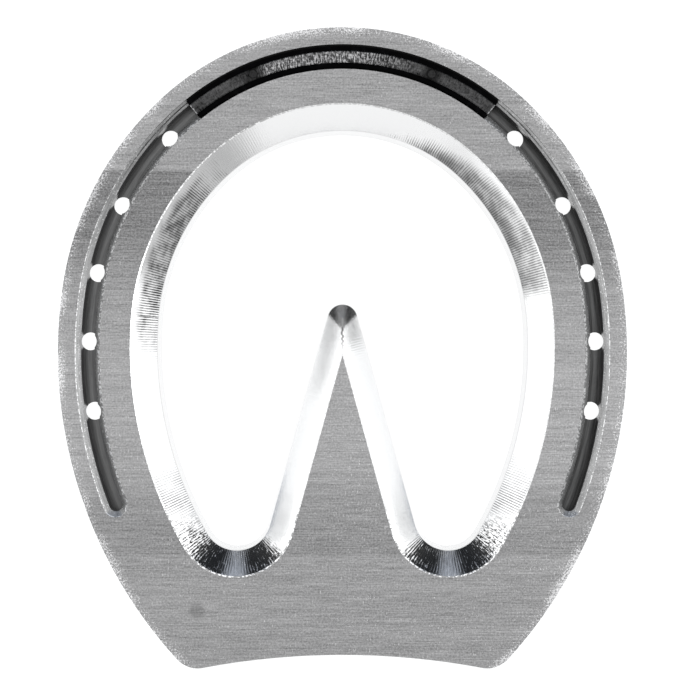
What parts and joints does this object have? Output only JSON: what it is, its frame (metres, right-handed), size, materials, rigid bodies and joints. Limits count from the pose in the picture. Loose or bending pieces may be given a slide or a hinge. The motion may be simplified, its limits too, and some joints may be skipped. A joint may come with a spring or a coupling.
{
  "type": "heart-bar horseshoe",
  "caption": "Heart-bar horseshoe in milled aluminium with a bevelled opening, a creased ground face, nail holes and a steel toe insert.",
  "frame": {"origin": "centre of the shoe's outline, on the hoof face that it lies on", "axes": "+Y towards the toe, +Z out of the creased ground face, +X to the right seen from above"},
  "size_m": [0.13, 0.1496, 0.01],
  "materials": {
    "plate_aluminium": "rolled plate with milled edges",
    "insert_steel": "dark steel, ground flush across its width",
    "bond_resin": "matt black resin",
    "rivet_steel": "dark steel, ground flush"
  },
  "bodies": {
    "root": {"shoe_body": "plate_aluminium", "toe_insert": "insert_steel", "insert_bond": "bond_resin", "insert_rivets": "rivet_steel"}
  },
  "joints": []
}
